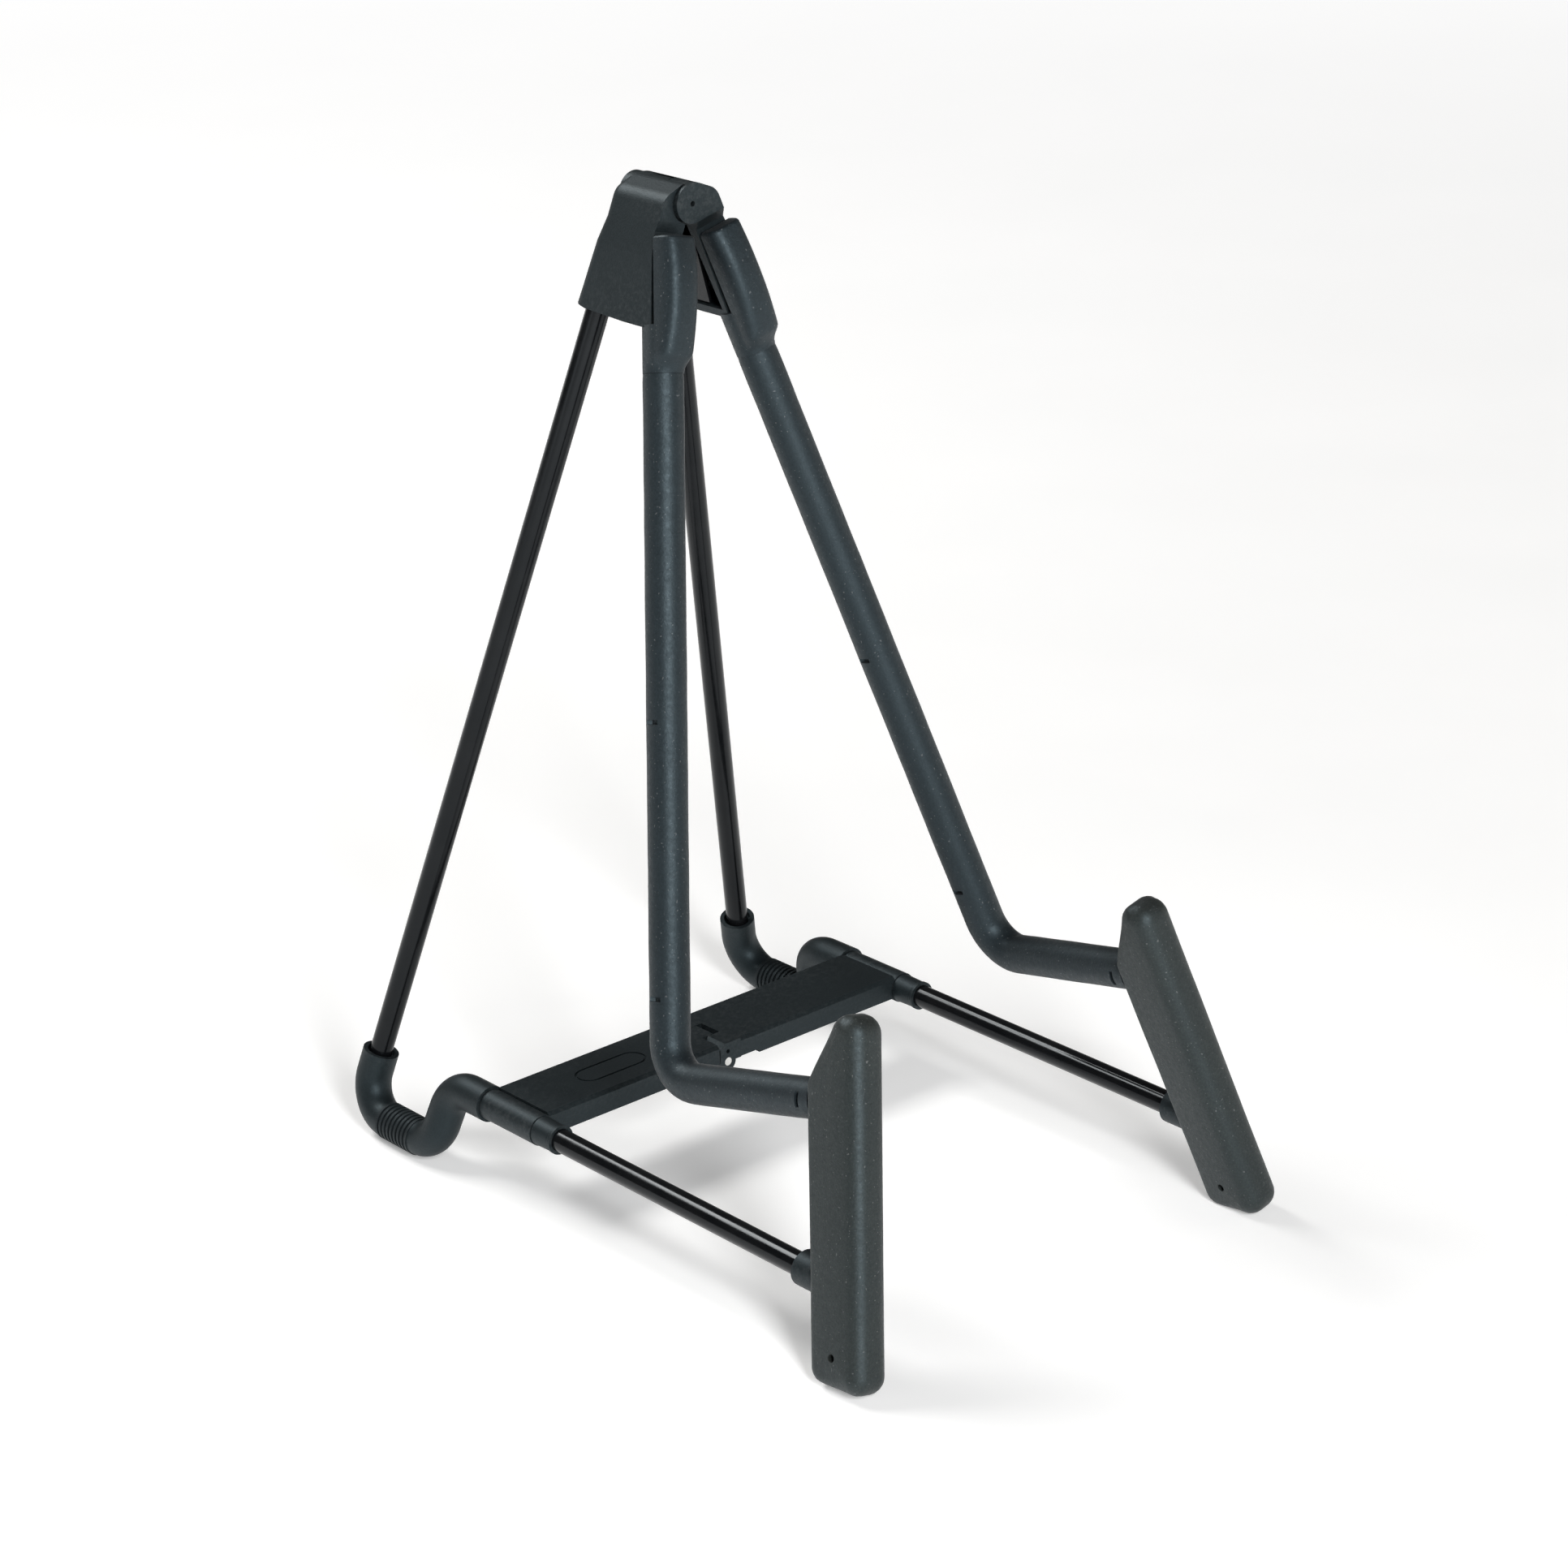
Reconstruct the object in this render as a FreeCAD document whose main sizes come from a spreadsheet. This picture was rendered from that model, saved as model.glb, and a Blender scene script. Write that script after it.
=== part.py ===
import FreeCAD, Part
import math
import os

import Sketcher

# Folding A-frame stand for a stringed instrument.
# Row axes: X to the right, Y to the rear, Z up; the instrument leans on the front (-Y) side.
# Each half of the stand is planar: bent front tube, rear leg, foot, base tube and bumper lie in one
# plane that leans outward from the hinge at the top.  A two-link strut joins the two base tubes.

SIZES = {
    # lean of each half, and distance of its tube plane from the hinge axis
    "splay_angle": 13.86, "plane_offset": 6.65, "origin_y": 33.67,
    # steel tubes
    "tube_radius": 4.0, "tube_wall": 1.0, "fit_gap": 0.05, "cut_margin": 1.0, "cut_reach": 60.0,
    # front tube with its soft sleeve, measured from the bend (the corner)
    "front_lean": 13.43, "corner_drop": 275.1, "corner_y": -57.9, "front_bend": 13.0,
    "front_tube_length": 264.0, "sleeve_radius": 6.67, "sleeve_length": 227.0,
    "sleeve_arm": 72.6, "tube_arm": 83.0, "slot_half": 2.45, "slot_height": 1.4,
    "slot_high": 115.0, "slot_low": 26.0, "slot_arm": 67.0,
    # rear leg
    "rear_lean": 12.92, "rear_top_drop": 12.0, "rear_top_y": 25.33, "rear_leg_length": 315.0,
    # base tube, parallel to the floor
    "base_drop": 312.0, "base_rear": 38.2, "base_length": 175.2,
    # rear foot: centreline corners, smooth tube with a ribbed rubber grip on the floor stretch
    "foot_radius": 6.4, "foot_bend": 12.0, "foot_drop": 335.7,
    "foot_toe_y": 57.5, "foot_rise_y": 50.8, "foot_end_y": 30.3, "foot_mouth_drop": 313.0,
    "socket_depth": 8.0, "mouth_radius": 4.9, "mouth_depth": 2.0,
    "grip_rear_y": 84.0, "grip_length": 18.0, "grip_bore": 5.3, "grip_root": 6.1,
    "rib_radius": 6.7, "rib_width": 1.1, "rib_count": 9.0, "grip_slack": 2.0,
    # bumper, in the frame of the front tube
    "bumper_back": 72.6, "bumper_front": 95.4, "bumper_half": 7.15, "bumper_top": 27.5,
    "bumper_tip_y": 84.6, "bumper_shoulder": 5.8, "bumper_low_back": 86.2,
    "bumper_low_front": 91.6, "bumper_round": 4.2, "bumper_corner": 6.4,
    "ground_radius": 150.0, "ground_depth": 40.0,
    "core_back": 78.0, "core_front": 90.0, "core_half": 5.0, "core_top": 11.0, "core_low": 66.0,
    "boss_radius": 6.0, "boss_tip_y": 132.5, "boss_root_y": 149.0,
    # back pad over the top of the front tube
    "pad_top": 270.5, "pad_low": 227.4, "pad_ring_top": 240.6, "pad_front_top": 11.4,
    "pad_front_mid": 13.0, "pad_front_low": 8.2, "pad_mid": 253.0, "pad_back": 3.9,
    "pad_outer": 7.0, "pad_inner": 6.2, "pad_round": 5.0,
    # head shells
    "shell_outer": 13.2, "shell_inner": 0.4, "shell_drop": 40.0,
    "shell_corner_drop": 38.2, "shell_low_front": 39.2, "shell_low_rear": 39.6,
    "shell_low_mid": 40.4, "shell_wall": 2.2, "shell_hem": 7.0,
    "shell_top": 6.5, "shell_crown": 3.0, "shell_shoulder": 10.6, "shell_shoulder_up": 0.8,
    "shell_waist_drop": 18.0, "shell_rear_top_y": 30.3, "shell_rear_low_y": 37.8,
    "shell_rear_round": 5.2, "shell_front_top_y": 1.6, "shell_front_low_y": -3.4,
    "shell_front_drop": 9.0, "shell_front_waist_y": 2.3,
    "knuckle_radius": 6.5, "knuckle_gap": 0.35, "head_pin_radius": 1.6, "pin_cover": 1.6,
    "peep_radius": 0.9,
    "knuckle_front_y": 0.0, "knuckle_split_front": 10.2, "knuckle_split_rear": 19.4,
    "knuckle_rear_y": 29.6, "cavity_drop": 8.8,
    # clamp plate and screws inside each head shell
    "clamp_inner": 1.4, "clamp_outer": 2.5, "clamp_front_y": 6.3, "clamp_rear_y": 28.4,
    "clamp_top_drop": 15.0, "clamp_low_drop": 37.0, "boss_post_radius": 2.9,
    "screw_y": 14.6, "screw_upper_drop": 20.5, "screw_lower_drop": 31.5,
    "screw_radius": 1.3, "screw_head_radius": 2.5, "screw_head": 0.9, "screw_length": 8.0,
    # strut
    "strut_front": 2.0, "strut_rear": 30.0, "strut_hub_radius": 5.4, "strut_top": 5.25,
    "strut_under": 2.9, "strut_pivot_low": 1.9, "strut_chamfer": 1.2, "strut_wall": 2.0,
    "strut_roof": 4.5,
    "relief_length": 14.0, "relief_end": 3.0, "relief_play": 0.25, "strut_nose": 3.4,
    "strut_nose_gap": 0.4, "strut_split_front": 11.2, "strut_split_rear": 20.8,
    "strut_pin_radius": 1.5, "pin_inset": 0.1, "nose_chamfer": 2.2,
    "gauge_radius": 0.75, "gauge_depth": 3.0, "gauge_up": 2.0, "strut_boss_radius": 3.3,
    "strut_side_gap": 0.2,
    "strut_root": 3.4, "strut_rib_pitch": 12.0, "badge_half": 9.0, "badge_radius": 5.2,
    # collar in front of the strut hub
    "collar_rear_y": 1.7, "collar_length": 10.0, "collar_radius": 5.1, "collar_tail": 4.85,
}

LEFT, RIGHT = -1, 1
NAMES = {LEFT: "left", RIGHT: "right"}
X_AXIS, Y_AXIS = FreeCAD.Vector(1, 0, 0), FreeCAD.Vector(0, 1, 0)

doc = FreeCAD.newDocument("folding_stand")
sheet = doc.addObject("Spreadsheet::Sheet", "sizes")
for row, (alias, number) in enumerate(SIZES.items(), start=1):
    sheet.set(f"A{row}", alias)
    sheet.set(f"B{row}", str(number))
    sheet.setAlias(f"B{row}", alias)
doc.recompute()

parts = {}


def size(alias):
    """Read one driving dimension from the sheet."""
    return float(sheet.get(alias))


def placed(x=0.0, y=0.0, z=0.0, axis=X_AXIS, angle=0.0):
    """Make a placement from a position and a turn about one axis."""
    return FreeCAD.Placement(FreeCAD.Vector(x, y, z), FreeCAD.Rotation(axis, angle))


# ---------------------------------------------------------------- frames of reference

SPLAY = math.radians(size("splay_angle"))
HINGE_HEIGHT = (size("foot_drop") * math.cos(SPLAY) - size("plane_offset") * math.sin(SPLAY)
                + size("rib_radius"))


def half_frame(side):
    """Frame of one half: x outward times side, z up its own plane, origin on the hinge axis."""
    return placed(y=size("origin_y"), z=HINGE_HEIGHT, axis=Y_AXIS, angle=-side * size("splay_angle"))


def plane_frame(side, y, drop, lean):
    """Frame on the tube plane of one half, leaned about the outward axis."""
    return half_frame(side).multiply(placed(side * size("plane_offset"), y, -drop, X_AXIS, lean))


def front_frame(side):
    """Frame at the corner of the front tube: z up the tube, -y along its arm."""
    return plane_frame(side, size("corner_y"), size("corner_drop"), -size("front_lean"))


def rear_frame(side):
    """Frame at the top of the rear leg: -z down the leg."""
    return plane_frame(side, size("rear_top_y"), size("rear_top_drop"), size("rear_lean"))


def along_base(side, y):
    """Frame on the base tube's axis: z points to the front."""
    return plane_frame(side, y, size("base_drop"), 90)


def base_axis(side):
    """Point where the base tube's axis meets the hinge plane y = 0 of the half."""
    return plane_frame(side, 0, size("base_drop"), 0).Base


def front_from_base(side, y):
    """Base tube frame seen from the front tube's frame."""
    return front_frame(side).inverse().multiply(along_base(side, y))


# ---------------------------------------------------------------- modelling helpers

def add_body(name, placement=None):
    """Start a PartDesign body."""
    body = doc.addObject("PartDesign::Body", name)
    body.Label = name
    if placement is not None:
        body.Placement = placement
    return body


def add_sketch(body, role, name, lift=None):
    """Start a sketch on one of the body's origin planes, lifted along the plane's normal."""
    sketch = body.newObject("Sketcher::SketchObject", name)
    plane = [item for item in body.Origin.OriginFeatures if item.Role == role][0]
    sketch.AttachmentSupport = [(plane, "")]
    sketch.MapMode = "FlatFace"
    if lift is not None:
        sketch.setExpression("AttachmentOffset.Base.z", lift)
    return sketch


def drive(sketch, expression, start, *spec):
    """Add a dimension to a sketch and bind it to an expression."""
    index = sketch.addConstraint(Sketcher.Constraint(*spec, start))
    sketch.setExpression(f"Constraints[{index}]", expression)


def draw_circle(sketch, radius, x="0", y="0"):
    """Draw a circle whose radius and centre follow expressions."""
    item = sketch.addGeometry(Part.Circle(FreeCAD.Vector(1, 1, 0), FreeCAD.Vector(0, 0, 1), 2))
    drive(sketch, radius, 2.0, "Radius", item)
    drive(sketch, x, 1.0, "DistanceX", -1, 1, item, 3)
    drive(sketch, y, 1.0, "DistanceY", -1, 1, item, 3)


def draw_chain(sketch, points, closed=True):
    """Draw straight lines through points whose coordinates follow expressions."""
    spots = [FreeCAD.Vector(10 * math.cos(k), 10 * math.sin(k), 0)
             for k in (2 * math.pi * i / len(points) for i in range(len(points)))]
    count = len(points) if closed else len(points) - 1
    lines = [sketch.addGeometry(Part.LineSegment(spots[i], spots[(i + 1) % len(points)]))
             for i in range(count)]
    for i in range(count if closed else count - 1):
        sketch.addConstraint(Sketcher.Constraint("Coincident", lines[i], 2, lines[(i + 1) % count], 1))
    for i, (x, y) in enumerate(points):
        line, end = (lines[i], 1) if i < count else (lines[-1], 2)
        drive(sketch, x, spots[i].x, "DistanceX", -1, 1, line, end)
        drive(sketch, y, spots[i].y, "DistanceY", -1, 1, line, end)
    return lines


def pad(body, sketch, length, both_ways=False):
    """Pad a sketch by a length that follows an expression."""
    feature = body.newObject("PartDesign::Pad", sketch.Name + "_pad")
    feature.Profile = sketch
    feature.setExpression("Length", length)
    if both_ways:
        feature.SideType = "Symmetric"
    sketch.Visibility = False
    return feature


def cut_through(body, sketch):
    """Cut a sketch right through the body, both ways."""
    feature = body.newObject("PartDesign::Pocket", sketch.Name + "_cut")
    feature.Profile = sketch
    feature.Type = "ThroughAll"
    feature.SideType = "Symmetric"
    return feature


def round_edges(body, radius, chosen):
    """Round the edges of the body's last feature that pass a test."""
    doc.recompute()
    base = body.Tip
    names = [f"Edge{i}" for i, edge in enumerate(base.Shape.Edges, start=1) if chosen(edge)]
    feature = body.newObject("PartDesign::Fillet", base.Name + "_round")
    feature.Base = (base, names)
    feature.setExpression("Radius", radius)
    return feature


def cylinder(name, radius, height, placement=None):
    """Make a Part cylinder along z."""
    item = doc.addObject("Part::Cylinder", name)
    item.setExpression("Radius", radius)
    item.setExpression("Height", height)
    if placement is not None:
        item.Placement = placement
    return item


def cylinder_y(name, radius, start, end, x=0.0, z=0.0):
    """Make a Part cylinder along +y from one coordinate to another, both expressions."""
    item = cylinder(name, radius, f"({end}) - ({start})", placed(x, 0, z, X_AXIS, -90))
    item.setExpression("Placement.Base.y", start)
    return item


def cylinder_x(name, radius, start, end, y, z):
    """Make a Part cylinder along x between two coordinates, all expressions."""
    item = cylinder(name, radius, f"abs(({end}) - ({start}))", placed(axis=Y_AXIS, angle=90))
    item.setExpression("Placement.Base.x", f"min({start}; {end})")
    item.setExpression("Placement.Base.y", y)
    item.setExpression("Placement.Base.z", z)
    return item


def box(name, x_low, x_high, y_low, y_high, z_low, z_high):
    """Make a Part box between two corners given as expressions."""
    item = doc.addObject("Part::Box", name)
    for prop, axis, low, high in (("Length", "x", x_low, x_high), ("Width", "y", y_low, y_high),
                                  ("Height", "z", z_low, z_high)):
        item.setExpression(prop, f"abs(({high}) - ({low}))")
        item.setExpression(f"Placement.Base.{axis}", f"min({low}; {high})")
    return item


def fuse(name, items):
    """Fuse several shapes."""
    item = doc.addObject("Part::MultiFuse", name)
    item.Shapes = items
    return item


def common(name, items):
    """Keep what several shapes share."""
    item = doc.addObject("Part::MultiCommon", name)
    item.Shapes = items
    return item


def cut(name, base, tools):
    """Cut several tools from a base shape."""
    item = doc.addObject("Part::Cut", name)
    item.Base = base
    item.Tool = tools[0] if len(tools) == 1 else fuse(name + "_tools", tools)
    return item


def keep(name, item, placement=None):
    """Register a finished sub-part under its node name."""
    item.Label = name
    if placement is not None:
        item.Placement = placement
    parts[name] = item


# ---------------------------------------------------------------- steel tubes

BORE = "sizes.tube_radius - sizes.tube_wall"
SOCKET = "sizes.tube_radius + sizes.fit_gap"


def straight_tube(name, length, placement):
    """Straight steel tube, drawn along z."""
    body = add_body(name, placement)
    ring = add_sketch(body, "XY_Plane", name + "_ring")
    draw_circle(ring, "sizes.tube_radius")
    draw_circle(ring, BORE)
    pad(body, ring, length)
    keep(name, body)


def bent_pipe(name, outer, inner, length, arm):
    """Pipe that runs down z, turns a right angle at the origin and leaves along -y."""
    body = add_body(name)
    spine = add_sketch(body, "YZ_Plane", name + "_spine")
    bend = size("front_bend")
    down = spine.addGeometry(Part.LineSegment(FreeCAD.Vector(0, 200, 0), FreeCAD.Vector(0, bend, 0)))
    turn = spine.addGeometry(Part.ArcOfCircle(
        Part.Circle(FreeCAD.Vector(-bend, bend, 0), FreeCAD.Vector(0, 0, 1), bend), -math.pi / 2, 0))
    out = spine.addGeometry(Part.LineSegment(FreeCAD.Vector(-bend, 0, 0), FreeCAD.Vector(-60, 0, 0)))
    spine.addConstraint(Sketcher.Constraint("Tangent", down, 2, turn, 2))
    spine.addConstraint(Sketcher.Constraint("Tangent", turn, 1, out, 1))
    spine.addConstraint(Sketcher.Constraint("Vertical", down))
    spine.addConstraint(Sketcher.Constraint("Horizontal", out))
    spine.addConstraint(Sketcher.Constraint("PointOnObject", down, 1, -2))
    spine.addConstraint(Sketcher.Constraint("PointOnObject", out, 2, -1))
    drive(spine, "sizes.front_bend", bend, "Radius", turn)
    drive(spine, length, 200.0, "DistanceY", -1, 1, down, 1)
    drive(spine, f"-({arm})", -60.0, "DistanceX", -1, 1, out, 2)
    ring = add_sketch(body, "XY_Plane", name + "_ring", lift=length)
    draw_circle(ring, outer)
    draw_circle(ring, inner)
    pipe = body.newObject("PartDesign::AdditivePipe", name + "_pipe")
    pipe.Profile = ring
    pipe.Spine = spine
    return body


def front_tube(side):
    """Bent steel tube from the head, down, and forward into the bumper core."""
    name = NAMES[side] + "_front_tube"
    body = bent_pipe(name, "sizes.tube_radius", BORE, "sizes.front_tube_length", "sizes.tube_arm")
    keep(name, body, front_frame(side))


def front_sleeve(side):
    """Soft sleeve over the bent tube, with three core-pin slots on each flank."""
    name = NAMES[side] + "_front_sleeve"
    body = bent_pipe(name, "sizes.sleeve_radius", SOCKET, "sizes.sleeve_length", "sizes.sleeve_arm")
    for label, height in (("high", "sizes.slot_high"), ("low", "sizes.slot_low")):
        slot = add_sketch(body, "YZ_Plane", f"{name}_{label}_slot")
        draw_chain(slot, [("-sizes.slot_half", height),
                          ("sizes.slot_half", height),
                          ("sizes.slot_half", f"{height} + sizes.slot_height"),
                          ("-sizes.slot_half", f"{height} + sizes.slot_height")])
        cut_through(body, slot)
    slot = add_sketch(body, "YZ_Plane", name + "_arm_slot")
    draw_chain(slot, [("-sizes.slot_arm", "-sizes.slot_half"),
                      ("-sizes.slot_arm", "sizes.slot_half"),
                      ("-sizes.slot_arm - sizes.slot_height", "sizes.slot_half"),
                      ("-sizes.slot_arm - sizes.slot_height", "-sizes.slot_half")])
    cut_through(body, slot)
    keep(name, body, front_frame(side))


def rear_leg(side):
    """Straight steel rear leg, from the head shell into the foot socket."""
    down = rear_frame(side).multiply(placed(axis=X_AXIS, angle=180))
    straight_tube(NAMES[side] + "_rear_leg_tube", "sizes.rear_leg_length", down)


def base_tube(side):
    """Steel tube parallel to the floor, from the foot to the bumper core."""
    straight_tube(NAMES[side] + "_base_tube", "sizes.base_length", along_base(side, size("base_rear")))


# ---------------------------------------------------------------- rear foot

def foot_corners():
    """Corners of the foot's centreline in its own plane, as (y, z) below the hinge axis."""
    slope = math.tan(math.radians(size("rear_lean")))
    mouth_y = size("rear_top_y") + (size("foot_mouth_drop") - size("rear_top_drop")) * slope
    floor, base = -size("foot_drop"), -size("base_drop")
    heel_y = size("rear_top_y") + (size("foot_drop") - size("rear_top_drop")) * slope
    return [(mouth_y, -size("foot_mouth_drop")), (heel_y, floor), (size("foot_toe_y"), floor),
            (size("foot_rise_y"), base), (size("foot_end_y"), base)]


def rounded_wire(points, radius):
    """Wire through corner points with a tangent arc at each inner corner."""
    edges = []
    start = points[0]
    for before, corner, after in zip(points, points[1:], points[2:]):
        back = (before - corner).normalize()
        ahead = (after - corner).normalize()
        half_turn = (math.pi - back.getAngle(ahead)) / 2
        reach = radius * math.tan(half_turn)
        enter, leave = corner + back * reach, corner + ahead * reach
        centre_way = (back + ahead).normalize()
        middle = corner + centre_way * (radius / math.cos(half_turn) - radius)
        edges.append(Part.makeLine(start, enter))
        edges.append(Part.Arc(enter, middle, leave).toShape())
        start = leave
    edges.append(Part.makeLine(start, points[-1]))
    return Part.Wire(edges)


def rear_foot(side):
    """Moulded elbow that joins the rear leg to the base tube and carries the grip."""
    name = NAMES[side] + "_rear_foot"
    across = side * size("plane_offset")
    points = [FreeCAD.Vector(across, y, z) for y, z in foot_corners()]
    spine = rounded_wire(points, size("foot_bend"))
    ends = ((points[0], points[1] - points[0]), (points[-1], points[-2] - points[-1]))
    ring = Part.Wire(Part.makeCircle(size("foot_radius"), points[0], ends[0][1]))
    shape = spine.makePipeShell([ring], True, False, 2)
    depth, socket = size("socket_depth"), size("tube_radius") + size("fit_gap")
    for point, inward in ends:
        way = FreeCAD.Vector(inward).normalize()
        shape = shape.cut(Part.makeCylinder(socket, depth, point, way))
    mouth = FreeCAD.Vector(ends[0][1]).normalize()
    shape = shape.cut(Part.makeCylinder(size("mouth_radius"), size("mouth_depth"), points[0], mouth))
    seat = FreeCAD.Vector(across, size("grip_rear_y") - size("grip_length"), -size("foot_drop"))
    outer = Part.makeCylinder(size("foot_radius") + size("grip_slack"), size("grip_length"), seat, Y_AXIS)
    core = Part.makeCylinder(size("grip_bore"), size("grip_length"), seat, Y_AXIS)
    foot = doc.addObject("Part::Feature", name)
    foot.Shape = shape.cut(outer.cut(core))
    keep(name, foot, half_frame(side))


def foot_grip(side):
    """Rubber grip with a row of ribs, on the floor stretch of the foot."""
    name = NAMES[side] + "_foot_grip"
    body = add_body(name)
    ring = add_sketch(body, "XY_Plane", name + "_root")
    draw_circle(ring, "sizes.grip_root")
    draw_circle(ring, "sizes.grip_bore")
    pad(body, ring, "sizes.grip_length")
    rib = add_sketch(body, "XY_Plane", name + "_rib")
    draw_circle(rib, "sizes.rib_radius")
    draw_circle(rib, "sizes.grip_bore")
    first = pad(body, rib, "sizes.rib_width")
    pattern = body.newObject("PartDesign::LinearPattern", name + "_ribs")
    pattern.Originals = [first]
    pattern.Direction = (rib, ["N_Axis"])
    pattern.setExpression("Length", "sizes.grip_length - sizes.rib_width")
    pattern.setExpression("Occurrences", "sizes.rib_count")
    body.Tip = pattern
    keep(name, body, plane_frame(side, size("grip_rear_y"), size("foot_drop"), 90))


# ---------------------------------------------------------------- bumper

def bumper_core(side):
    """Moulded insert inside the bumper: holds both tube ends and shows a boss on the base tube."""
    name = NAMES[side] + "_bumper_core"
    bar = box(name + "_bar", "-sizes.core_half", "sizes.core_half", "-sizes.core_front",
              "-sizes.core_back", "-sizes.core_low", "sizes.core_top")
    boss = cylinder(name + "_boss", "sizes.boss_radius", "sizes.boss_root_y - sizes.boss_tip_y",
                    front_from_base(side, -size("boss_tip_y")))
    arm_hole = cylinder_y(name + "_arm_hole", SOCKET, "-sizes.tube_arm - sizes.fit_gap", "0")
    base_hole = cylinder(name + "_base_hole", SOCKET, "sizes.base_length + sizes.fit_gap",
                         front_from_base(side, size("base_rear")))
    keep(name, cut(name, fuse(name + "_solid", [bar, boss]), [arm_hole, base_hole]), front_frame(side))


def bumper(side):
    """Soft upright cushion at the front end, rounded all over, hollow for its core."""
    name = NAMES[side] + "_bumper"
    body = add_body(name + "_block")
    outline = add_sketch(body, "YZ_Plane", name + "_outline")
    draw_chain(outline, [("-sizes.bumper_back", "-sizes.bumper_low_back"),
                         ("-sizes.bumper_back", "sizes.bumper_shoulder"),
                         ("-sizes.bumper_tip_y", "sizes.bumper_top"),
                         ("-sizes.bumper_front", "sizes.bumper_top"),
                         ("-sizes.bumper_front", "-sizes.bumper_low_front")])
    pad(body, outline, "2 * sizes.bumper_half", both_ways=True)
    round_edges(body, "sizes.bumper_corner", lambda edge: abs(edge.BoundBox.XLength) > 1)
    round_edges(body, "sizes.bumper_round", lambda edge: edge.BoundBox.XLength < 0.01)
    tools = [box(name + "_core_room", "-sizes.core_half", "sizes.core_half", "-sizes.core_front",
                 "-sizes.core_back", "-sizes.core_low", "sizes.core_top"),
             cylinder(name + "_boss_room", "sizes.boss_radius",
                      "sizes.boss_root_y - sizes.boss_tip_y", front_from_base(side, -size("boss_tip_y"))),
             cylinder_y(name + "_arm_room", SOCKET, "-sizes.tube_arm - sizes.fit_gap", "0")]
    lowered = front_frame(side).inverse()
    ground = cylinder(name + "_ground", "sizes.ground_radius", "sizes.ground_depth")
    ground.Placement = lowered.multiply(placed(y=size("origin_y") + size("corner_y"),
                                               z=-size("ground_depth")))
    keep(name, cut(name, body, tools + [ground]), front_frame(side))


# ---------------------------------------------------------------- back pad

def back_pad(side):
    """Soft cushion round the top of the front tube, bulging towards the instrument."""
    name = NAMES[side] + "_back_pad"
    body = add_body(name + "_block")
    outline = add_sketch(body, "YZ_Plane", name + "_outline")
    draw_chain(outline, [("-sizes.pad_back", "sizes.pad_low"), ("-sizes.pad_back", "sizes.pad_top"),
                         ("-sizes.pad_front_top", "sizes.pad_top"),
                         ("-sizes.pad_front_mid", "sizes.pad_mid"),
                         ("-sizes.pad_front_low", "sizes.pad_low")])
    pad(body, outline, "sizes.pad_outer + sizes.pad_inner", both_ways=True)
    round_edges(body, "sizes.pad_round", lambda edge: edge.BoundBox.XLength < 0.01
                and edge.BoundBox.YMax < -size("pad_back") - 0.5 and edge.BoundBox.ZLength > 5)
    body.Placement = placed(x=side * (size("pad_outer") - size("pad_inner")) / 2)
    ring = cylinder(name + "_ring", "sizes.sleeve_radius", "sizes.pad_ring_top - sizes.pad_low",
                    placed(z=size("pad_low")))
    bore = cylinder(name + "_bore", SOCKET, "sizes.pad_top", placed(z=size("pad_low") - 5))
    keep(name, cut(name, fuse(name + "_solid", [body, ring]), [bore]), front_frame(side))


# ---------------------------------------------------------------- head

def knuckle_spans(side):
    """Stretches of the hinge axis that belong to one half, as expressions."""
    if side == LEFT:
        return [("sizes.knuckle_split_front", "sizes.knuckle_split_rear")]
    return [("sizes.knuckle_front_y", "sizes.knuckle_split_front - sizes.strut_side_gap"),
            ("sizes.knuckle_split_rear + sizes.strut_side_gap", "sizes.knuckle_rear_y")]


def clearance_spans(side):
    """Stretches of the hinge axis that belong to the other half, with side play."""
    if side == LEFT:
        return [("-sizes.knuckle_radius", "sizes.knuckle_split_front - sizes.strut_side_gap / 2"),
                ("sizes.knuckle_split_rear + sizes.strut_side_gap / 2", "sizes.cut_reach")]
    return [("sizes.knuckle_split_front - sizes.strut_side_gap",
             "sizes.knuckle_split_rear + sizes.strut_side_gap")]


def round_outer_rear(name, blank):
    """Round the long rear edge of the shell on its outer side, around the rear leg."""
    doc.recompute()
    outer, rear = size("shell_outer") * 0.7, size("shell_rear_top_y") - 1.5
    chosen = [i for i, edge in enumerate(blank.Shape.Edges, start=1)
              if edge.BoundBox.YMin > rear and edge.BoundBox.ZLength > 3
              and max(abs(edge.BoundBox.XMin), abs(edge.BoundBox.XMax)) > outer]
    item = doc.addObject("Part::Fillet", name + "_rounded")
    item.Base = blank
    item.Edges = [(index, size("shell_rear_round"), size("shell_rear_round")) for index in chosen]
    return item


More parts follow.
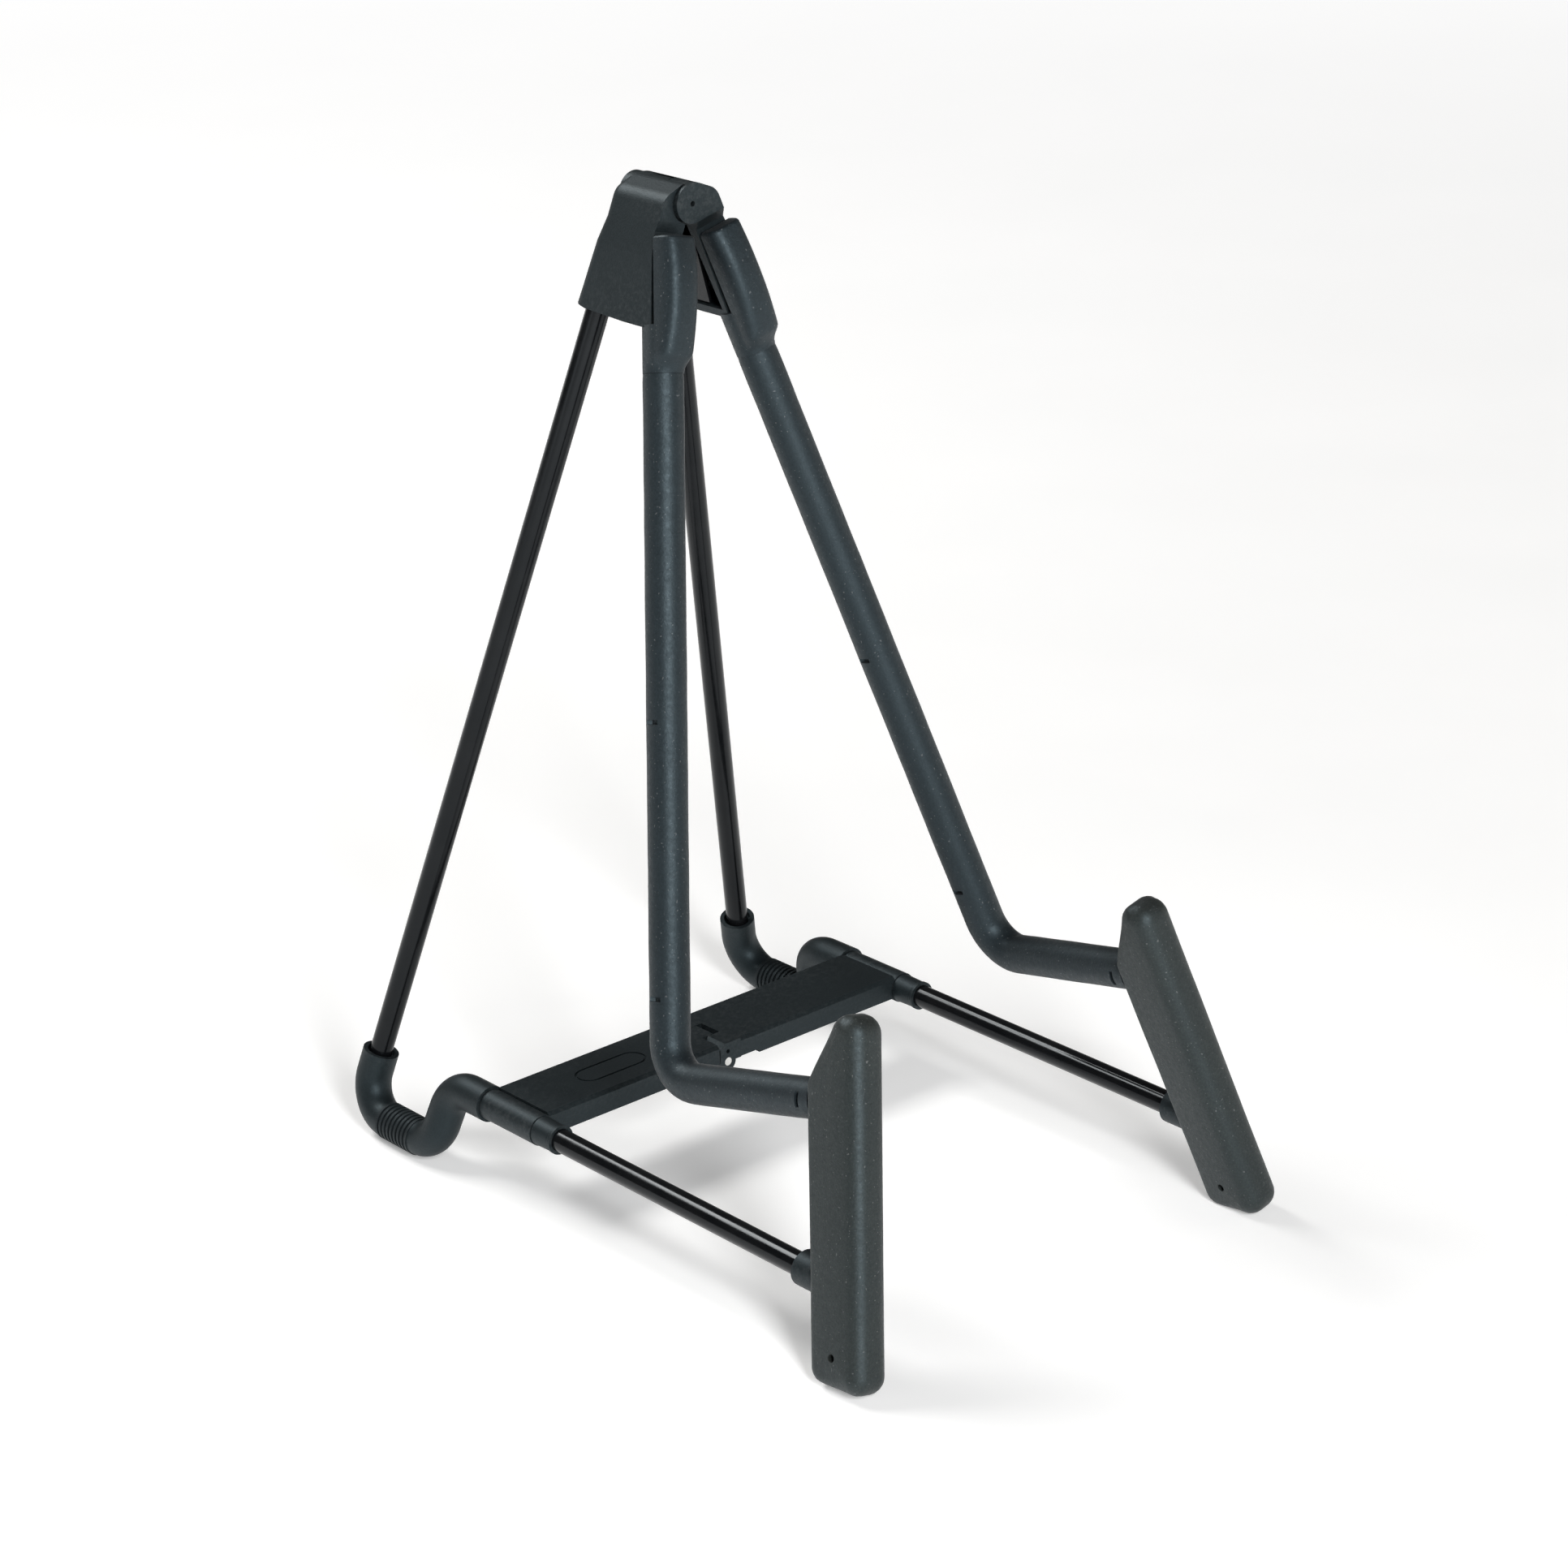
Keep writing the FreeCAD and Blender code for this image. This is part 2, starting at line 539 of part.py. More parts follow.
def head_shell(side):
    """Moulded cover over the tops of both tubes, open inward, with its hinge knuckles."""
    name = NAMES[side] + "_head_shell"
    across = add_body(name + "_across")
    section = add_sketch(across, "XZ_Plane", name + "_section")
    draw_chain(section, [(f"{side} * sizes.shell_inner", "sizes.shell_top"),
                         (f"{side} * sizes.shell_crown", "sizes.shell_top"),
                         (f"{side} * sizes.shell_shoulder", "sizes.shell_shoulder_up"),
                         (f"{side} * sizes.shell_outer", "-sizes.shell_waist_drop"),
                         (f"{side} * sizes.shell_outer", "-sizes.shell_drop - 5"),
                         (f"{side} * sizes.shell_inner", "-sizes.shell_drop - 5")])
    pad(across, section, "2 * sizes.cut_reach", both_ways=True)
    top = size("shell_top")
    round_edges(across, "sizes.knuckle_radius", lambda edge: edge.BoundBox.YLength > 50
                and abs(edge.BoundBox.XMax) > 2 and edge.BoundBox.ZMax > top - 6)
    along = add_body(name + "_along")
    profile = add_sketch(along, "YZ_Plane", name + "_profile")
    front = "sizes.shell_front_top_y" if side == LEFT else "sizes.knuckle_front_y"
    draw_chain(profile, [(front, "sizes.shell_top + 1"),
                         ("sizes.knuckle_rear_y", "sizes.shell_top + 1"),
                         ("sizes.shell_rear_top_y", "-sizes.shell_front_drop"),
                         ("sizes.shell_rear_low_y", "-sizes.shell_corner_drop"),
                         ("sizes.shell_rear_low_y - sizes.shell_hem", "-sizes.shell_low_rear"),
                         ("sizes.shell_front_low_y + 2 * sizes.shell_hem", "-sizes.shell_low_mid"),
                         ("sizes.shell_front_low_y + sizes.shell_hem / 2", "-sizes.shell_low_mid"),
                         ("sizes.shell_front_low_y", "-sizes.shell_low_front"),
                         ("sizes.shell_front_waist_y", "-sizes.shell_front_drop - 1"),
                         (front, "-sizes.knuckle_radius")])
    pad(along, profile, "sizes.cut_reach", both_ways=True)
    blank = round_outer_rear(name, common(name + "_blank", [across, along]))
    wall = "sizes.shell_wall"
    cavity_body = add_body(name + "_cavity")
    room = add_sketch(cavity_body, "YZ_Plane", name + "_room")
    draw_chain(room, [(f"sizes.shell_front_waist_y + 2 * {wall}", "-sizes.cavity_drop"),
                      (f"sizes.shell_rear_top_y - {wall}", "-sizes.cavity_drop"),
                      (f"sizes.shell_rear_low_y - {wall} - 0.3", f"-sizes.shell_drop + {wall}"),
                      (f"sizes.shell_front_low_y + {wall}", f"-sizes.shell_drop + {wall}")])
    pad(cavity_body, room, f"2 * (sizes.shell_outer - {wall})", both_ways=True)
    half_inverse = half_frame(side).inverse()
    leg_frame = half_inverse.multiply(rear_frame(side)).multiply(placed(axis=X_AXIS, angle=180))
    front_local = half_inverse.multiply(front_frame(side))
    cut_tools = [cavity_body,
                 cylinder(name + "_leg_room", SOCKET, "sizes.cut_reach", leg_frame),
                 cylinder(name + "_front_room", "sizes.tube_radius + sizes.knuckle_gap", "sizes.cut_reach",
                          front_local.multiply(placed(z=size("front_tube_length")
                                                      + size("cut_margin") - size("cut_reach"))))]
    for index, (start, end) in enumerate(clearance_spans(side)):
        cut_tools.append(cylinder_y(f"{name}_clear_{index}",
                                    "sizes.knuckle_radius + sizes.knuckle_gap", start, end))
    posts = [cylinder_x(f"{name}_post_{index}", "sizes.boss_post_radius",
                        f"{side} * (sizes.clamp_outer + 0.02)", f"{side} * (sizes.shell_outer - 1)",
                        "sizes.screw_y", f"-{drop}")
             for index, drop in enumerate(("sizes.screw_upper_drop", "sizes.screw_lower_drop"))]
    holes = [cylinder_x(f"{name}_hole_{index}", "sizes.screw_radius + 0.02", "0",
                        f"{side} * (sizes.clamp_outer + sizes.screw_length)",
                        "sizes.screw_y", f"-{drop}")
             for index, drop in enumerate(("sizes.screw_upper_drop", "sizes.screw_lower_drop"))]
    knuckles = [cylinder_y(f"{name}_knuckle_{index}", "sizes.knuckle_radius", start, end)
                for index, (start, end) in enumerate(knuckle_spans(side))]
    hinge_bore = cylinder_y(name + "_bore", "sizes.head_pin_radius + sizes.fit_gap",
                            "sizes.knuckle_front_y + sizes.pin_cover", "sizes.knuckle_rear_y + 1")
    peep_hole = cylinder_y(name + "_peep_hole", "sizes.peep_radius", "sizes.knuckle_front_y - 1",
                           "sizes.knuckle_front_y + 2 * sizes.pin_cover")
    shell = cut(name + "_open", blank, cut_tools)
    solid = fuse(name + "_solid", [shell] + posts + knuckles)
    keep(name, cut(name, solid, holes + [hinge_bore, peep_hole]), half_frame(side))


def head_clamp(side):
    """Steel plate that clamps both tube tops inside the head shell."""
    name = NAMES[side] + "_head_clamp"
    plate = box(name + "_plate", f"{side} * sizes.clamp_inner", f"{side} * sizes.clamp_outer",
                "sizes.clamp_front_y", "sizes.clamp_rear_y", "-sizes.clamp_low_drop",
                "-sizes.clamp_top_drop")
    holes = [cylinder_x(f"{name}_hole_{index}", "sizes.screw_radius + 0.1", "0", f"{side} * 5",
                        "sizes.screw_y", f"-{drop}")
             for index, drop in enumerate(("sizes.screw_upper_drop", "sizes.screw_lower_drop"))]
    keep(name, cut(name, plate, holes), half_frame(side))


def head_screws(side):
    """Two screws from the clamp plate into the shell's posts."""
    name = NAMES[side] + "_head_screws"
    solids = []
    for index, drop in enumerate(("sizes.screw_upper_drop", "sizes.screw_lower_drop")):
        head = cylinder_x(f"{name}_head_{index}", "sizes.screw_head_radius",
                          f"{side} * (sizes.clamp_inner - sizes.screw_head)",
                          f"{side} * sizes.clamp_inner", "sizes.screw_y", f"-{drop}")
        shank = cylinder_x(f"{name}_shank_{index}", "sizes.screw_radius",
                           f"{side} * (sizes.clamp_inner - 0.1)",
                           f"{side} * (sizes.clamp_outer + sizes.screw_length - 0.5)",
                           "sizes.screw_y", f"-{drop}")
        solids += [head, shank]
    keep(name, fuse(name, solids), half_frame(side))


def head_pins():
    """Hinge pin at the head: a middle piece in the left half and two end pieces in the right."""
    start = size("knuckle_split_front") + 0.1
    middle = cylinder("head_pin_middle", "sizes.head_pin_radius",
                      "sizes.knuckle_split_rear - sizes.knuckle_split_front - 0.2",
                      half_frame(LEFT).multiply(placed(y=start, axis=X_AXIS, angle=-90)))
    keep("head_pin_middle", middle)
    ends = [cylinder_y(f"head_pin_end_{index}", "sizes.head_pin_radius", start, end)
            for index, (start, end) in enumerate([
                ("sizes.knuckle_front_y + sizes.pin_cover + 0.1", "sizes.knuckle_split_front - 0.4"),
                ("sizes.knuckle_split_rear + 0.4", "sizes.knuckle_rear_y - 0.6")])]
    keep("head_pin_ends", fuse("head_pin_ends", ends), half_frame(RIGHT))


# ---------------------------------------------------------------- strut

STRUT_REACH = abs(base_axis(LEFT).x)
STRUT_LINE = base_axis(LEFT).z


def strut_frame(side):
    """Row-aligned frame on the base tube's axis, x towards the middle for the left link."""
    return placed(-STRUT_REACH if side == LEFT else STRUT_REACH, size("origin_y"), STRUT_LINE)


def strut_knuckles(side):
    """Stretches across the link that belong to its own knuckles at the middle joint."""
    gap = "sizes.strut_side_gap"
    if side == LEFT:
        return [(f"sizes.strut_split_front + {gap}", f"sizes.strut_split_rear - {gap}")]
    return [("sizes.strut_front", "sizes.strut_split_front"),
            ("sizes.strut_split_rear", "sizes.strut_rear")]


def long_round(name, radius, middle):
    """Upright prism with rounded ends, long along x, at the top of the strut link."""
    across = "(sizes.strut_front + sizes.strut_rear) / 2"
    low, high = "sizes.strut_top - 0.5", "sizes.strut_top + 1"
    ends = []
    for index, sign in enumerate(("-", "+")):
        end = cylinder(f"{name}_end_{index}", radius, "1.5")
        end.setExpression("Placement.Base.x", f"{middle} {sign} sizes.badge_half")
        end.setExpression("Placement.Base.y", across)
        end.setExpression("Placement.Base.z", low)
        ends.append(end)
    bar = box(name + "_bar", f"{middle} - sizes.badge_half", f"{middle} + sizes.badge_half",
              f"{across} - {radius}", f"{across} + {radius}", low, high)
    return fuse(name, ends + [bar])


def badge(name, middle):
    """Ring groove with rounded ends, engraved in the top of the link as plain decoration."""
    outer = long_round(name + "_badge_outer", "sizes.badge_radius", middle)
    inner = long_round(name + "_badge_inner", "(sizes.badge_radius - 0.8)", middle)
    return cut(name + "_badge", outer, [inner])


def nose_chamfer(name, inward):
    """Tool that bevels the top edge at the end of the link's knuckles."""
    bevel, margin = size("nose_chamfer"), size("cut_margin")
    end = inward * (STRUT_REACH + size("strut_nose"))
    top = size("strut_top")
    tool = box(name + "_bevel", "0", f"2 * ({bevel} + 2 * {margin})", "0",
               "sizes.strut_rear + sizes.strut_front", "0", f"2 * ({bevel} + 2 * {margin})")
    if inward > 0:
        spot = placed(end - bevel - margin, 0, top + margin, Y_AXIS, 45)
    else:
        spot = placed(end - margin, 0, top - bevel - margin, Y_AXIS, -45)
    for axis in ("x", "y", "z"):
        tool.setExpression(f"Placement.Base.{axis}", None)
    tool.Placement = spot
    return tool


def strut_link(side):
    """One link of the strut: hub round the base tube, hollow beam, knuckles at the middle."""
    name = NAMES[side] + "_strut_link"
    inward = -side
    beam = add_body(name + "_beam")
    section = add_sketch(beam, "YZ_Plane", name + "_section", lift=f"{inward} * sizes.strut_root")
    draw_chain(section, [("sizes.strut_front", "-sizes.strut_under"),
                         ("sizes.strut_front", "sizes.strut_top - sizes.strut_chamfer"),
                         ("sizes.strut_front + sizes.strut_chamfer", "sizes.strut_top"),
                         ("sizes.strut_rear", "sizes.strut_top"),
                         ("sizes.strut_rear", "-sizes.strut_under")])
    length = f"{STRUT_REACH} - sizes.strut_root - sizes.strut_nose - sizes.strut_nose_gap"
    feature = pad(beam, section, length)
    feature.Reversed = inward < 0
    hub = cylinder_y(name + "_hub", "sizes.strut_hub_radius", "sizes.strut_front", "sizes.strut_rear")
    hollow_start = "sizes.strut_hub_radius + 1.5"
    hollow_end = f"({STRUT_REACH} - sizes.strut_nose - sizes.strut_nose_gap - 6)"
    hollow = box(name + "_hollow", f"{inward} * ({hollow_start})", f"{inward} * {hollow_end}",
                 "sizes.strut_front + sizes.strut_wall", "sizes.strut_rear - sizes.strut_wall",
                 "-20", "sizes.strut_top - sizes.strut_roof")
    ribs = []
    span = STRUT_REACH - 12 - size("strut_hub_radius")
    count = int(span // size("strut_rib_pitch"))
    for index in range(1, count + 1):
        spot = f"{inward} * ({hollow_start} + {index} * sizes.strut_rib_pitch)"
        ribs.append(box(f"{name}_rib_{index}", spot, f"{spot} + {inward} * 1.2",
                        "sizes.strut_front + 1", "sizes.strut_rear - 1",
                        "-sizes.strut_under + 1", "sizes.strut_top - 1"))
    pivot = f"{inward} * {STRUT_REACH}"
    low = "-sizes.strut_pivot_low"
    noses = []
    for index, (start, end) in enumerate(strut_knuckles(side)):
        noses.append(box(f"{name}_nose_{index}",
                         f"{pivot} - {inward} * (sizes.strut_nose + sizes.strut_nose_gap + 2)",
                         f"{pivot} + {inward} * sizes.strut_nose", start, end, low,
                         "sizes.strut_top"))
        eye = cylinder_y(f"{name}_eye_{index}", "sizes.strut_boss_radius", start, end,
                         z=-size("strut_pivot_low"))
        eye.setExpression("Placement.Base.x", pivot)
        noses.append(eye)
    pin_hole = cylinder_y(name + "_pin_hole", "sizes.strut_pin_radius + sizes.fit_gap", "0",
                          "sizes.cut_reach",
                          z=-size("strut_pivot_low"))
    pin_hole.setExpression("Placement.Base.x", pivot)
    tube_hole = cylinder_y(name + "_tube_hole", "sizes.tube_radius + sizes.fit_gap", "0", "sizes.cut_reach")
    relief = box(name + "_relief", f"{pivot} - {inward} * sizes.relief_length",
                 f"{pivot} - {inward} * sizes.relief_end",
                 "0", "sizes.cut_reach", "-sizes.cut_reach", "-sizes.strut_pivot_low + sizes.relief_play")
    tools = [pin_hole, tube_hole]
    shell = cut(name + "_shell", beam, [hollow, relief])
    solid = fuse(name + "_solid", [shell, hub] + ribs + noses)
    tools.append(nose_chamfer(name, inward))
    if side == LEFT:
        tools.append(badge(name, f"{inward} * {STRUT_REACH / 2}"))
    else:
        gauge = cylinder_y(name + "_gauge_hole", "sizes.gauge_radius", "sizes.strut_front - 1",
                           "sizes.strut_front + sizes.gauge_depth", z=size("gauge_up"))
        gauge.setExpression("Placement.Base.x", pivot)
        tools.append(gauge)
    keep(name, cut(name, solid, tools), strut_frame(side))


def strut_pin():
    """Plain pin through the knuckles at the middle of the strut, its ends just below the faces."""
    start = size("origin_y") + size("strut_front") + size("pin_inset")
    pin = cylinder("strut_pin", "sizes.strut_pin_radius",
                   "sizes.strut_rear - sizes.strut_front - 2 * sizes.pin_inset",
                   placed(0, start, STRUT_LINE - size("strut_pivot_low"), X_AXIS, -90))
    keep("strut_pin", pin)


def base_collar(side):
    """Tapered plastic collar on the base tube, in front of the strut hub."""
    name = NAMES[side] + "_base_collar"
    body = add_body(name)
    outline = add_sketch(body, "XZ_Plane", name + "_outline")
    draw_chain(outline, [(SOCKET, "0"), ("sizes.collar_radius", "0"),
                         ("sizes.collar_tail", "sizes.collar_length - 1.6"),
                         ("sizes.collar_tail + 0.25", "sizes.collar_length - 1.2"),
                         ("sizes.collar_tail + 0.25", "sizes.collar_length"),
                         (SOCKET, "sizes.collar_length")])
    turn = body.newObject("PartDesign::Revolution", name + "_turn")
    turn.Profile = outline
    turn.ReferenceAxis = (outline, ["V_Axis"])
    turn.Angle = 360
    keep(name, body, along_base(side, size("collar_rear_y")))


for half in (LEFT, RIGHT):
    rear_leg(half)
    base_tube(half)
    front_tube(half)
    front_sleeve(half)
    rear_foot(half)
    foot_grip(half)
    bumper_core(half)
    bumper(half)
    back_pad(half)
    head_shell(half)
    head_clamp(half)
    head_screws(half)
    base_collar(half)
    strut_link(half)
head_pins()
strut_pin()
doc.recompute()

failed = [(item.Name, item.getStatusString()) for item in doc.Objects
          if {"Invalid", "Error"} & set(item.State)]
if failed:
    raise RuntimeError(f"these objects failed: {failed}")
os.makedirs("parts", exist_ok=True)
for node, item in parts.items():
    if item.Shape.isNull() or not item.Shape.isValid():
        raise RuntimeError(f"{node} has no valid shape")
    item.Shape.exportStep(f"parts/{node}.step")
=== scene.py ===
import math

import bmesh
import bpy
from mathutils import Matrix, Vector, noise


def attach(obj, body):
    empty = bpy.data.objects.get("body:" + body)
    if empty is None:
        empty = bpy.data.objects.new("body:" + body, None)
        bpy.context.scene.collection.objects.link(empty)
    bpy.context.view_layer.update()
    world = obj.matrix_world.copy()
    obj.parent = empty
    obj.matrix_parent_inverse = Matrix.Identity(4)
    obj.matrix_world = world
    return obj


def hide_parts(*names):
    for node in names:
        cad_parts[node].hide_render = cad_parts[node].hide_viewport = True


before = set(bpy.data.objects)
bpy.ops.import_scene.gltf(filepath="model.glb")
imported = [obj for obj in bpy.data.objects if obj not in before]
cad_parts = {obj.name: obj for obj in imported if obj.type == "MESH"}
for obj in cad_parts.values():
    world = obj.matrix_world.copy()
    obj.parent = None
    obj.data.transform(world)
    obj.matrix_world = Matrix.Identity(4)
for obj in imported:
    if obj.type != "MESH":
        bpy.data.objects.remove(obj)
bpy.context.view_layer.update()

# Folding stand for a stringed instrument.  Metres; X right, Y to the rear, Z up, floor at z = 0.
# The hard parts are the CAD nodes.  The soft ones (sleeves, back pads, bumpers) are built here.

MM = 0.001
SIDES = {"left": -1, "right": 1}

# driving dimensions, the same values as the hard parts have, in millimetres
SPLAY, PLANE_OFFSET, ORIGIN_Y = 13.86, 6.65, 33.67
FOOT_DROP, RIB_RADIUS = 335.7, 6.7
CORNER_Y, CORNER_DROP, FRONT_LEAN, FRONT_BEND = -57.9, 275.1, 13.43, 13.0
SOCKET = 4.05
SLEEVE_RADIUS, SLEEVE_LENGTH, SLEEVE_ARM = 6.67, 227.0, 72.6
SLOT_HALF, SLOT_HEIGHT, SLOT_HIGH, SLOT_LOW, SLOT_ARM = 2.45, 1.4, 115.0, 26.0, 67.0
BUMPER_BACK, BUMPER_FRONT, BUMPER_HALF, BUMPER_TOP = 72.6, 95.4, 7.15, 27.5
BUMPER_TIP, BUMPER_SHOULDER, BUMPER_LOW_BACK, BUMPER_LOW_FRONT = 84.6, 5.8, 86.2, 91.6
BUMPER_CORNER = 6.4
HOLE_FORWARD, HOLE_DROP, HOLE_RADIUS, HOLE_DEPTH = 83.6, 78.4, 1.35, 4.0
PAD_TOP, PAD_LOW, PAD_RING_TOP, PAD_MID = 270.5, 227.4, 240.6, 253.0
PAD_FRONT_TOP, PAD_FRONT_MID, PAD_FRONT_LOW, PAD_BACK = 11.4, 13.0, 8.2, 3.9
PAD_OUTER, PAD_INNER = 7.0, 6.2

# shapes of the soft pieces, in millimetres, and counts of their mesh points
SLEEVE_AROUND, SLEEVE_STEP, BEND_STEPS = 64, 2.5, 14
SLOT_DEPTH, SLOT_MARGIN, SLOT_CLEAR = 1.7, 0.12, 0.8
SLEEVE_UNEVEN, SLEEVE_OFFSET, SLEEVE_END_ROLL, SLEEVE_LINING = 0.10, 0.02, 0.15, 9.0
FRONT_SOFT, REAR_SOFT, TIP_SOFT, LOW_SOFT = 5.6, 2.0, 4.8, 3.0
BUMPER_LAYERS, BUMPER_CROWN, BUMPER_SWELL = 7, 0.30, 0.16
PAD_FRONT_POINTS, PAD_BACK_POINTS, PAD_SQUARENESS, PAD_TAPER = 44, 24, 3.4, 6.5
PAD_RIM, PAD_RIM_STEPS, PAD_STEP, PAD_RING_LIFT, PAD_SWELL = 1.1, 6, 0.9, 1.9, 0.16
PAD_TAPER_START, PAD_CENTRE, PAD_BLEND, PAD_OVERHANG, PAD_LEDGE = 0.4, 3.5, 5, 0.3, 0.02
PAD_CROWN, PAD_CROWN_INSET, PAD_SWELL_FROM = 0.05, 2.4, 2
LOW_CORNER, SHOULDER_CORNER, SPINE_LOW_MARGIN, SPINE_TOP_MARGIN = 5.0, 3.0, 9.0, 12.0
FACE_LOOPS, OUTLINE_STEP, CORNER_STEP, CORNER_POINTS = (0.88, 0.72, 0.52, 0.28), 1.6, 0.8, 6
SLEEVE_NOISE, BUMPER_NOISE, PAD_NOISE = 0.09, 0.045, 0.07
CREASE_DEGREES, DRILL_SEGMENTS, MERGE_DISTANCE = 55, 28, 0.01

HINGE_HEIGHT = (FOOT_DROP * math.cos(math.radians(SPLAY))
                - PLANE_OFFSET * math.sin(math.radians(SPLAY)) + RIB_RADIUS)


def turn(axis, degrees):
    return Matrix.Rotation(math.radians(degrees), 4, axis)


def front_frame(side):
    """Frame at the corner of the front tube: z up the tube, -y along its arm, in millimetres."""
    half = Matrix.Translation((0, ORIGIN_Y, HINGE_HEIGHT)) @ turn("Y", -side * SPLAY)
    corner = Matrix.Translation((side * PLANE_OFFSET, CORNER_Y, -CORNER_DROP))
    return half @ corner @ turn("X", -FRONT_LEAN)


# ---------------------------------------------------------------- materials

def new_material(name):
    material = bpy.data.materials.new(name)
    material.use_nodes = True
    tree = material.node_tree
    tree.nodes.clear()
    output = tree.nodes.new("ShaderNodeOutputMaterial")
    shader = tree.nodes.new("ShaderNodeBsdfPrincipled")
    tree.links.new(shader.outputs["BSDF"], output.inputs["Surface"])
    where = tree.nodes.new("ShaderNodeTexCoord").outputs["Object"]
    return material, tree, shader, where


def noise_node(tree, where, scale, detail=4.0, rough=0.55):
    node = tree.nodes.new("ShaderNodeTexNoise")
    node.inputs["Scale"].default_value = scale
    node.inputs["Detail"].default_value = detail
    node.inputs["Roughness"].default_value = rough
    tree.links.new(where, node.inputs["Vector"])
    return node.outputs["Fac"]


def ramp(tree, value, stops):
    node = tree.nodes.new("ShaderNodeValToRGB")
    elements = node.color_ramp.elements
    while len(elements) < len(stops):
        elements.new(0.5)
    for element, (place, colour) in zip(elements, stops):
        element.position = place
        element.color = (*colour, 1.0) if isinstance(colour, tuple) else (colour,) * 3 + (1.0,)
    tree.links.new(value, node.inputs["Fac"])
    return node.outputs["Color"]


def spread(tree, value, low, high, start=0.3, end=0.7):
    node = tree.nodes.new("ShaderNodeMapRange")
    node.inputs["From Min"].default_value = start
    node.inputs["From Max"].default_value = end
    node.inputs["To Min"].default_value = low
    node.inputs["To Max"].default_value = high
    tree.links.new(value, node.inputs["Value"])
    return node.outputs["Result"]


def mix(tree, factor, first, second, blend="MIX"):
    """Mix colours: sockets 0, 6 and 7 are the factor, A and B of the colour mode."""
    node = tree.nodes.new("ShaderNodeMix")
    node.data_type = "RGBA"
    node.blend_type = blend
    if isinstance(factor, float):
        node.inputs[0].default_value = factor
    else:
        tree.links.new(factor, node.inputs[0])
    tree.links.new(first, node.inputs[6])
    tree.links.new(second, node.inputs[7])
    return node.outputs[2]


def bump(tree, height, distance, strength=1.0, before=None):
    node = tree.nodes.new("ShaderNodeBump")
    node.inputs["Strength"].default_value = strength
    node.inputs["Distance"].default_value = distance
    tree.links.new(height, node.inputs["Height"])
    if before is not None:
        tree.links.new(before, node.inputs["Normal"])
    return node.outputs["Normal"]


def edge_wear(tree, low, high):
    """Edges of a solid, from the shape's own curvature."""
    geometry = tree.nodes.new("ShaderNodeNewGeometry")
    return spread(tree, geometry.outputs["Pointiness"], 0.0, 1.0, low, high)


SHEEN_TINT = (0.70, 0.90, 1.0, 1.0)


def foam(name, base, tint):
    """Closed-cell foam or moulded soft skin: matte, fine grain, sparse pale specks."""
    material, tree, shader, where = new_material(name)
    cloud = noise_node(tree, where, 38.0, 5.0)
    grain = noise_node(tree, where, 1500.0, 3.0, 0.6)
    cells = noise_node(tree, where, 620.0, 4.0, 0.65)
    body = ramp(tree, cloud, [(0.32, base), (0.68, tint)])
    grains = ramp(tree, grain, [(0.30, 0.62), (0.52, 1.0), (0.74, 1.55)])
    colour = mix(tree, 1.0, body, grains, "MULTIPLY")
    dots = noise_node(tree, where, 1400.0, 0.0)
    specks = ramp(tree, dots, [(0.77, 0.0), (0.82, 0.06)])
    colour = mix(tree, 1.0, colour, specks, "ADD")
    tree.links.new(colour, shader.inputs["Base Color"])
    tree.links.new(spread(tree, cells, 0.44, 0.60), shader.inputs["Roughness"])
    fine = bump(tree, grain, 0.00007)
    tree.links.new(bump(tree, cells, 0.00012, 0.8, fine), shader.inputs["Normal"])
    shader.inputs["Specular IOR Level"].default_value = 0.50
    shader.inputs["Specular Tint"].default_value = SHEEN_TINT
    shader.inputs["Sheen Weight"].default_value = 0.03
    shader.inputs["Sheen Roughness"].default_value = 0.5
    return material


def moulded(name, base, tint, rough_low, rough_high):
    """Spark-eroded moulded plastic: fine leather-like grain with handling marks."""
    material, tree, shader, where = new_material(name)
    cloud = noise_node(tree, where, 30.0, 3.0)
    grain = noise_node(tree, where, 1700.0, 2.0, 0.5)
    smear = noise_node(tree, where, 700.0, 4.0, 0.6)
    body = ramp(tree, cloud, [(0.32, base), (0.68, tint)])
    grains = ramp(tree, grain, [(0.30, 0.75), (0.52, 1.0), (0.72, 1.3)])
    colour = mix(tree, 1.0, body, grains, "MULTIPLY")
    worn = edge_wear(tree, 0.56, 0.64)
    pale = ramp(tree, smear, [(0.45, 0.0), (0.75, 0.022)])
    colour = mix(tree, worn, colour, mix(tree, 1.0, colour, pale, "ADD"))
    tree.links.new(colour, shader.inputs["Base Color"])
    tree.links.new(spread(tree, smear, rough_low, rough_high), shader.inputs["Roughness"])
    fine = bump(tree, grain, 0.00005)
    tree.links.new(bump(tree, smear, 0.00003, 0.35, fine), shader.inputs["Normal"])
    shader.inputs["Specular IOR Level"].default_value = 0.40
    shader.inputs["Specular Tint"].default_value = SHEEN_TINT
    return material


def gloss_paint(name):
    """Powder-coated steel tube: deep black gloss with a faint orange peel and rubbed streaks."""
    material, tree, shader, where = new_material(name)
    peel = noise_node(tree, where, 420.0, 2.0, 0.4)
    streak = noise_node(tree, where, 90.0, 5.0, 0.6)
    base = ramp(tree, streak, [(0.35, (0.0030, 0.0034, 0.0040)), (0.7, (0.0060, 0.0064, 0.0070))])
    tree.links.new(base, shader.inputs["Base Color"])
    tree.links.new(spread(tree, streak, 0.13, 0.20), shader.inputs["Roughness"])
    tree.links.new(bump(tree, peel, 0.00002, 0.6), shader.inputs["Normal"])
    shader.inputs["Specular IOR Level"].default_value = 0.24
    shader.inputs["Specular Tint"].default_value = (0.88, 0.95, 1.0, 1.0)
    return material


